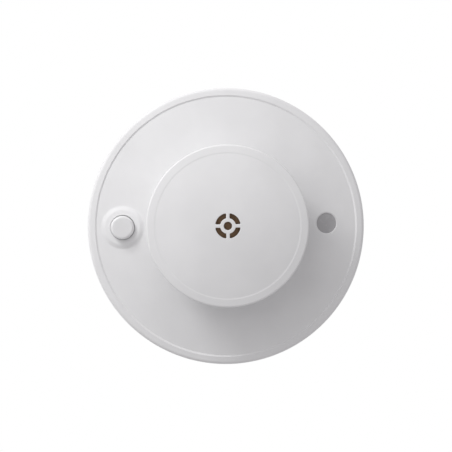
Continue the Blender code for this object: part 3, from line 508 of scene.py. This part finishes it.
def make_cap():
    """The cap: its middle as a mesh with the grille's five openings, and the rest as a turned line."""
    edge = 0.16
    seat = CAP_LOW + 1.2

    def hole_outline(grow):
        return circle(GRILLE_HOLE + grow, SMALL_STEPS)

    slots = [lambda grow, quarter=quarter: slot_outline(quarter, grow) for quarter in range(4)]
    openings = [hole_outline] + slots
    outlines = [circle(GRILLE_FIELD, STEPS)] + [opening(edge) for opening in openings]
    points = []
    for radius in (2.0, 2.4, 2.8, 5.5, 5.9, 6.5, 7.2, 8.0, 8.8):
        points += circle(radius, FINE_STEPS if radius > 5 else SMALL_STEPS)
    for away in (3.5, 4.0, 4.5, 5.0):
        points += [polar(away, 90 * k) for k in range(4)]
    flat, faces = area_mesh(outlines, points)
    face = [GRILLE_FIELD + (DOME_EDGE - 0.6 - GRILLE_FIELD) * i / 14 for i in range(15)]
    outer = [(radius, dome(radius)) for radius in face]
    outer += rounded([
        (DOME_EDGE - 0.5, dome(DOME_EDGE - 0.5), 0),
        (DOME_EDGE - 0.3, dome(DOME_EDGE - 0.3), 0.1),
        (DOME_EDGE + 0.3, BAND_TOP, 0.15),
        (CAP, BAND_EDGE, 0.8),
        (CAP, CAP_LOW, 0.45),
        (NECK, CAP_LOW, 0.2),
        (NECK, seat, 0.1),
        (CAP - WALL, seat, 0.2),
        (CAP - WALL, BAND_TOP - 2.6, 1.0),
        (28.0, dome(28.0, WALL), 0),
    ])
    outer += [(radius, dome(radius, WALL)) for radius in (24.0, 20.0, 16.0, 12.0, GRILLE_FIELD)]
    surfaces = [raised(flat, faces, cap_front), raised(flat, faces, cap_back), turned(outer)]
    surfaces += [hole_wall(opening, cap_front, cap_back, edge) for opening in openings]
    add_piece("sounder_cap_shell", surfaces, WHITE, "head", ["sounder_cap"])


# Smoke inlet under the cap

def make_inlet():
    """A ring of bars: one unrolled panel with a rounded window, wrapped and repeated."""
    windows = 36
    inner, outer = 27.3, 29.2
    _, _, _, _, low, high = span("inlet_grille")
    sill, lintel = low + 0.8, high - 1.1
    pitch = 360 / windows
    half = pitch / 2
    wide = math.degrees(1.8 / outer)

    def window(grow):
        w = wide + math.degrees(grow / outer)
        corners = [
            (-w * 0.5, sill - grow, 0.5),
            (w * 0.5, sill - grow, 0.5),
            (w * 0.5, lintel + grow, 0.5),
            (-w * 0.5, lintel + grow, 0.5),
        ]
        return [(a, b) for a, b in rounded(corners, closed=True)]

    across = [-half / 2 + half * i / 8 for i in range(9)]
    frame_line = [(a, low) for a in across]
    frame_line += [(half / 2, low + (high - low) * i / 5) for i in range(1, 5)]
    frame_line += [(a, high) for a in reversed(across)]
    frame_line += [(-half / 2, high - (high - low) * i / 5) for i in range(1, 5)]
    flat, faces = area_mesh([frame_line, window(0.12)], [])
    surfaces = []
    for number in range(windows):
        middle_angle = (number + 0.5) * pitch

        def wrap(a, b, radius, at=middle_angle):
            x, y = polar(radius, at + 2 * a)
            return x, y, b

        surfaces.append(raised(flat, faces, lambda a, b: wrap(a, b, outer)))
        surfaces.append(raised(flat, faces, lambda a, b: wrap(a, b, inner)))
        reveal = ((0.12, outer), (0.03, outer - 0.04), (0.0, outer - 0.12), (0.12, inner))
        surfaces.append(bridge([[wrap(a, b, radius) for a, b in window(grow)] for grow, radius in reveal]))
        for level in (low, high):
            loops = [[wrap(a, level, radius) for a in across] for radius in (outer, inner)]
            surfaces.append(bridge(loops, closed=False))
    add_piece("inlet_grille_ring", surfaces, WHITE, "head", ["inlet_grille"])


def make_screen():
    """Fine woven mesh behind the inlet, as crossing wires."""
    _, right, _, _, low, high = span("insect_screen")
    name = "insect_screen_mesh"
    columns, rows = 208, 14
    radius = right - 0.17
    loops = [[(x, y, low + 0.1 + (high - low - 0.2) * k / rows) for x, y in circle(radius, columns)]
             for k in range(rows + 1)]
    points, faces = bridge(loops)
    mesh = bpy.data.meshes.new(name)
    mesh.from_pydata([(x * MM, -d * MM, y * MM) for x, y, d in points], [], faces)
    piece = finish_piece(name, mesh, SCREEN, "head", ["insect_screen"], 180)
    wires = piece.modifiers.new("wires", "WIREFRAME")
    wires.thickness = 0.24 * MM
    wires.use_even_offset = False
    wires.use_replace = True
    wires.use_boundary = True


# Test button, status window and spring

def make_button():
    """The button: a rounded cap, a flange that holds it in the cover, and a foot for the switch."""
    outer, flange, foot = 4.95, 6.4, 1.5
    line = rounded([
        (0, BUTTON_TOP, 0),
        (outer, BUTTON_TOP, 1.2),
        (outer, BUTTON_LOW + 1.5, 0.1),
        (flange, BUTTON_LOW + 1.5, 0.15),
        (flange, BUTTON_LOW + 0.5, 0.15),
        (foot, BUTTON_LOW + 0.5, 0.1),
        (foot, BUTTON_LOW, 0.15),
        (0, BUTTON_LOW, 0),
    ])
    # It sits a little low and to the left in its bore.
    surfaces = [turned(line, FINE_STEPS, (BUTTON[0] - 0.04, BUTTON[1] - 0.06))]
    add_piece("test_button_cap", surfaces, BUTTON_WHITE, "button", ["test_button"])


def make_window():
    """The light guide: a lens that leans with the cone, and a stem that reaches to the status LED."""
    face = 18.76
    lens, lens_depth = 4.18, 1.9
    stem, stem_depth = 2.0, 4.9
    line = rounded([
        (0, 0, 0),
        (lens, 0, 0.03),
        (lens, -lens_depth, 0.1),
        (stem, -lens_depth, 0.1),
        (stem, -stem_depth, 0.3),
        (0, -stem_depth, 0),
    ])

    def tilt(point):
        x, y, d = point
        return (
            WINDOW[0] + x * math.cos(SLOPE) + d * math.sin(SLOPE),
            WINDOW[1] + y,
            face - x * math.sin(SLOPE) + d * math.cos(SLOPE),
        )

    surfaces = [turned(line, SMALL_STEPS)]
    stands_for = ["status_window"]
    add_piece("status_window_lens", surfaces, SMOKED, "head", stands_for, convert=tilt)


def make_spring():
    """The coil under the button. In the real alarm it shortens as the button goes in; here it is made at
    one length.
    """
    _, right, _, _, low, high = span("button_spring")
    wire = 0.25
    radius = right - BUTTON[0] - wire
    turns, per_turn, around = 3, 48, 12
    loops = []
    for step in range(turns * per_turn + 1):
        share = step / (turns * per_turn)
        angle = 2 * math.pi * turns * share
        height = low + wire + (high - low - 2 * wire) * share
        loop = []
        for k in range(around):
            a = 2 * math.pi * k / around
            reach = radius + wire * math.cos(a)
            x = BUTTON[0] + reach * math.cos(angle)
            y = BUTTON[1] + reach * math.sin(angle)
            loop.append((x, y, height + wire * math.sin(a)))
        loops.append(loop)
    points, faces = bridge(loops)
    last = len(points) - around
    faces = list(faces) + [tuple(range(around)), tuple(range(last, last + around))]
    coil = [(points, faces)]
    spring = add_piece("button_spring_coil", coil, STEEL, "head", ["button_spring"], 60)
    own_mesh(spring)


# Back of the alarm

EJECTOR_RING = 14.0


def oblong(x, y, length, width, upright):
    """The outline of a slot with round ends."""
    reach = (length - width) / 2
    right = [(reach + width / 2 * math.cos(math.radians(a)), width / 2 * math.sin(math.radians(a)))
             for a in range(-90, 91, 9)]
    line = right + [(-a, -b) for a, b in right]
    return [(x - b, y + a) if upright else (x + a, y + b) for a, b in line]


def plate_face(x, y):
    """The plate's back, with two shallow moulded grooves and four ejector marks."""
    radius = math.hypot(x, y)
    sink = 0.0
    for groove in (21.0, 43.5):
        sink = max(sink, 0.35 * max(0.0, 1 - ((radius - groove) / 0.8) ** 2))
    for k in range(4):
        px, py = polar(EJECTOR_RING, 45 + 90 * k)
        sink = max(sink, 0.12 if math.hypot(x - px, y - py) < 2.05 else 0.0)
    return x, y, sink


def make_plate():
    """The wall plate: a disc with four screw slots in recessed seats, a rim and the bayonet hooks."""
    edge = 0.3
    face_edge = 46.6
    front, seat_floor = 2.0, 0.9
    places = [(30, 0, False), (-30, 0, False), (0, 30, True), (0, -30, True)]

    def openings(length, width):
        """One outline function for each place, which takes how far the outline grows."""
        return [lambda grow, x=x, y=y, upright=upright: oblong(
            x, y, length + 2 * grow, width + 2 * grow, upright) for x, y, upright in places]

    slots = openings(9, 3.9)
    seats = openings(13.3, 8.2)
    outlines = [circle(face_edge, STEPS)] + [slot(edge) for slot in slots]
    points = [(0, 0)]
    radii = [2, 5, 8, 11, 14, 17, 19.6] + [20.2 + 0.2 * i for i in range(9)]
    radii += [22.4, 24, 27, 30, 33, 36, 39, 41.5]
    radii += [42.7 + 0.2 * i for i in range(9)] + [45.2]
    for radius in radii:
        points += circle(radius, STEPS if radius > 15 else FINE_STEPS if radius > 6 else 32)
    for k in range(4):
        centre = polar(EJECTOR_RING, 45 + 90 * k)
        points = far_from(points, centre, 2.6)
        for radius in (2.0, 2.1):
            points += circle(radius, 32, centre)
    for x, y, upright in places:
        points = outside(points, oblong(x, y, 10.4, 5.3, upright))
    flat, faces = area_mesh(outlines, points)
    ring = rounded([
        (face_edge, 0, 0),
        (PLATE, 0, 0.5),
        (PLATE, 2.6, 0.5),
        (47.4, 2.6, 0.25),
        (47.4, front, 0.2),
        (face_edge, front, 0),
    ])
    surfaces = [raised(flat, faces, plate_face), turned(ring)]
    rings = [p for r in (4, 9, 14, 19, 24, 29, 34, 39, 44) for p in circle(r, FINE_STEPS)]
    for x, y, upright in places:
        rings = outside(rings, oblong(x, y, 15.5, 10.4, upright))
    face, triangles = area_mesh([circle(face_edge, STEPS)] + [seat(edge) for seat in seats], rings)
    surfaces.append(raised(face, triangles, lambda x, y: (x, y, front)))
    for slot, seat in zip(slots, seats):
        floor, triangles = area_mesh([seat(0.0), slot(0.1)], [])
        surfaces.append(raised(floor, triangles, lambda x, y: (x, y, seat_floor)))
        loops = [[plate_face(x, y) for x, y in slot(edge)]]
        rounds = ((0.5 * edge, 0.05), (0.2 * edge, 0.13), (0.0, edge), (0.0, 0.8), (0.1, seat_floor))
        for grow, d in rounds:
            loops.append([(x, y, d) for x, y in slot(grow)])
        surfaces.append(bridge(loops))
        loops = []
        rounds = ((edge, front), (0.5 * edge, 1.95), (0.2 * edge, 1.87), (0.0, 1.7), (0.0, seat_floor))
        for grow, d in rounds:
            loops.append([(x, y, d) for x, y in seat(grow)])
        surfaces.append(bridge(loops))
    for angle in HOOK_ANGLES:
        surfaces += hook(angle)
    add_piece("mounting_plate_shell", surfaces, REAR_WHITE, "base", ["mounting_plate"])


def hook(angle):
    """A bayonet hook: a post with a lip that reaches outward, swept along an arc."""
    inner, outer, tip = 38.0, 40.0, 42.2
    root, lip = 1.9, 5.2
    section = rounded([
        (inner, root, 0),
        (inner, HOOK_TOP, 0.25),
        (tip, HOOK_TOP, 0.3),
        (tip, lip, 0.2),
        (outer, lip, 0.2),
        (outer, root, 0),
    ])
    steps, sweep = 12, 12
    loops = []
    for k in range(steps + 1):
        here = angle - sweep / 2 + sweep * k / steps
        loops.append([(*polar(radius, here), d) for radius, d in section])
    points, faces = bridge(loops)
    last = len(points) - len(section)
    faces = list(faces) + [tuple(range(len(section))), tuple(range(last, len(points)))]
    return [(points, faces)]


# CAD nodes that keep their shape and get a finer finish

def smoothing():
    """Modifier nodes that shade a CAD node's round faces smooth and keep its edges sharp."""
    group = bpy.data.node_groups.new("smooth_by_angle", "GeometryNodeTree")
    group.interface.new_socket("Geometry", in_out="INPUT", socket_type="NodeSocketGeometry")
    group.interface.new_socket("Geometry", in_out="OUTPUT", socket_type="NodeSocketGeometry")
    start = group.nodes.new("NodeGroupInput")
    end = group.nodes.new("NodeGroupOutput")
    merge = group.nodes.new("GeometryNodeMergeByDistance")
    merge.inputs["Distance"].default_value = WELD * 2
    faces = group.nodes.new("GeometryNodeSetShadeSmooth")
    faces.domain = "FACE"
    edges = group.nodes.new("GeometryNodeSetShadeSmooth")
    edges.domain = "EDGE"
    edges.inputs["Shade Smooth"].default_value = False
    angle = group.nodes.new("GeometryNodeInputMeshEdgeAngle")
    sharp = group.nodes.new("FunctionNodeCompare")
    sharp.inputs[1].default_value = math.radians(30)
    link = group.links.new
    link(start.outputs[0], merge.inputs["Geometry"])
    link(merge.outputs["Geometry"], faces.inputs["Geometry"])
    link(faces.outputs["Geometry"], edges.inputs["Geometry"])
    link(angle.outputs["Unsigned Angle"], sharp.inputs[0])
    link(sharp.outputs[0], edges.inputs["Selection"])
    link(edges.outputs["Geometry"], end.inputs[0])
    return group


KEPT = {
    "rear_housing": REAR_WHITE,
    "chamber_base": BLACK,
    "chamber_labyrinth": BLACK,
    "chamber_lid": BLACK,
    "sounder_housing": BLACK,
    "infrared_led": CLEAR_LED,
    "photodiode": DARK_LED,
    "piezo_disc": BRASS,
    "piezo_ceramic": CERAMIC,
    "sounder_lead_plus": RED_PLASTIC,
    "sounder_lead_minus": BLACK_RUBBER,
    "circuit_board": BOARD,
    "microcontroller": CHIP,
    "sounder_driver": CHIP,
    "boost_coil": FERRITE,
    "large_capacitor": ALUMINIUM,
    "small_capacitor": ALUMINIUM,
    "crystal": ALUMINIUM,
    "status_led": GREEN_LED,
    "test_switch": CHIP,
    "switch_plunger": RED_PLASTIC,
    "upper_cell": SLEEVE,
    "lower_cell": SLEEVE,
    "left_contact": STEEL,
    "right_contact": STEEL,
    "top_screw": STEEL,
    "left_screw": STEEL,
    "right_screw": STEEL,
}


def finish_kept():
    """Gives each kept node its material and the smoothing modifier."""
    group = smoothing()
    for name, material in KEPT.items():
        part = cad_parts[name]
        for place in part.material_slots:
            place.link = "OBJECT"
            place.material = material
        modifier = part.modifiers.new("smooth_by_angle", "NODES")
        modifier.node_group = group


# Floor, light and camera

def make_stage():
    """A round pale floor, below the object and centred a little in front of it, in metres."""
    radius, steps, ahead, below = 0.95, 96, 0.2, 0.2
    mesh = bpy.data.meshes.new("floor")
    points = [(x, y - ahead, -below) for x, y in circle(radius, steps)]
    mesh.from_pydata(points, [], [tuple(range(steps))])
    material, tree, shader = start_material("pale_floor")
    tint = blend_colours(tree, noise(tree, 9.0, 3.0), (0.84, 0.84, 0.84), (0.88, 0.88, 0.88))
    tree.links.new(tint, shader.inputs["Base Color"])
    shader.inputs["Roughness"].default_value = 0.7
    mesh.materials.append(material)
    floor = bpy.data.objects.new("floor", mesh)
    floor.visible_diffuse = False
    bpy.context.scene.collection.objects.link(floor)


FRONT_FILL = 0.49
SIDE_FILL = 1.0
REAR_FILL = 0.6


def make_world():
    """White where the camera sees it. As light it is brightest from beside and behind the object."""
    world = bpy.data.worlds.new("studio")
    bpy.context.scene.world = world
    world.use_nodes = True
    tree = world.node_tree
    tree.nodes.clear()
    out = tree.nodes.new("ShaderNodeOutputWorld")
    seen = node(tree, "ShaderNodeBackground", Color=(1, 1, 1, 1), Strength=1.0)
    fill = node(tree, "ShaderNodeBackground", Color=(1.0, 0.982, 1.0, 1))
    around = tree.nodes.new("ShaderNodeTexCoord")
    parts = tree.nodes.new("ShaderNodeSeparateXYZ")
    tree.links.new(around.outputs["Generated"], parts.inputs[0])
    rise = remap(tree, parts.outputs["Y"], -0.15, 0.5, FRONT_FILL, SIDE_FILL)
    fall = remap(tree, parts.outputs["Y"], 0.5, 1.0, 0.0, SIDE_FILL - REAR_FILL)
    level = node(tree, "ShaderNodeMath")
    level.operation = "SUBTRACT"
    tree.links.new(rise, level.inputs[0])
    tree.links.new(fall, level.inputs[1])
    tree.links.new(level.outputs[0], fill.inputs["Strength"])
    path = tree.nodes.new("ShaderNodeLightPath")
    mix = tree.nodes.new("ShaderNodeMixShader")
    tree.links.new(path.outputs["Is Camera Ray"], mix.inputs[0])
    tree.links.new(fill.outputs[0], mix.inputs[1])
    tree.links.new(seen.outputs[0], mix.inputs[2])
    tree.links.new(mix.outputs[0], out.inputs[0])


def add_light(name, away, distance, size, power):
    data = bpy.data.lights.new(name, "AREA")
    data.shape = "DISK"
    data.size = size
    data.energy = power
    light = bpy.data.objects.new(name, data)
    light.location = Vector(away).normalized() * distance
    light.rotation_euler = Vector(away).to_track_quat("Z", "Y").to_euler()
    light.visible_camera = False
    bpy.context.scene.collection.objects.link(light)


def make_lights():
    side = math.radians(130)

    def away(lean):
        """The direction that leans this many degrees from straight ahead, up and to the left."""
        lean = math.radians(lean)
        return math.sin(lean) * math.cos(side), -math.cos(lean), math.sin(lean) * math.sin(side)

    add_light("key", away(66), 1.3, 0.5, 8.2)
    add_light("soft", away(45), 1.4, 1.6, 5.4)


def make_camera():
    """Straight ahead but a little to the left, and rolled a little, as in the photo."""
    data = bpy.data.cameras.new("camera")
    distance = 1.1
    frame_width = 0.1899
    data.sensor_width = 36.0
    data.lens = data.sensor_width * distance / frame_width
    camera = bpy.data.objects.new("camera", data)
    target = Vector((0.0, -0.015, 0.0))
    left, roll = math.radians(1.6), math.radians(0.8)
    back = Vector((-math.sin(left), -math.cos(left), 0.0))
    camera.location = target + back * distance
    aim = (-back).to_track_quat("-Z", "Y") @ Quaternion((0.0, 0.0, 1.0), -roll)
    camera.rotation_euler = aim.to_euler()
    bpy.context.scene.collection.objects.link(camera)
    bpy.context.scene.camera = camera
    bpy.context.scene.view_settings.view_transform = "Standard"


make_camera()
make_world()
make_lights()
make_stage()
make_cover()
make_cap()
make_inlet()
make_screen()
make_button()
make_window()
make_spring()
make_plate()
finish_kept()
